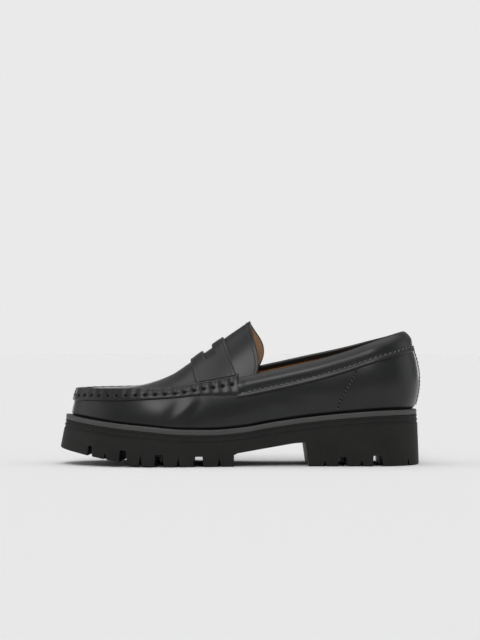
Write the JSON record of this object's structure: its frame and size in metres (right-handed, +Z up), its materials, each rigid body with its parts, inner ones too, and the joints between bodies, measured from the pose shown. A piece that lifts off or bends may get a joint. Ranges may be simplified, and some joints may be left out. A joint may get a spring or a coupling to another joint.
{
  "type": "chunky lug sole loafer",
  "caption": "Black leather penny loafer, left shoe, with a moc-toe seam, slotted saddle strap, stitched collar, grey edge strip and a thick lugged rubber sole with heel.",
  "frame": {"origin": "under the middle of the shoe's bounding box, on the floor that the sole stands on", "axes": "-X towards the toe, +X towards the heel, -Y towards the outer side of this left shoe, +Y towards its inner side, +Z up"},
  "size_m": [0.3003, 0.1074, 0.1189],
  "materials": {
    "outsole_rubber": "matte moulded rubber",
    "strip_rubber": "satin smooth grey rubber",
    "black_leather": "smooth calf leather with a soft shine",
    "tan_lining": "unfinished tan lining leather, matte"
  },
  "bodies": {
    "root": {"outsole": "outsole_rubber", "midsole": "strip_rubber", "insole": "tan_lining", "upper": "black_leather", "tongue": "black_leather", "saddle_strap": "black_leather", "moc_seam": "black_leather", "collar_band": "black_leather"}
  },
  "joints": []
}
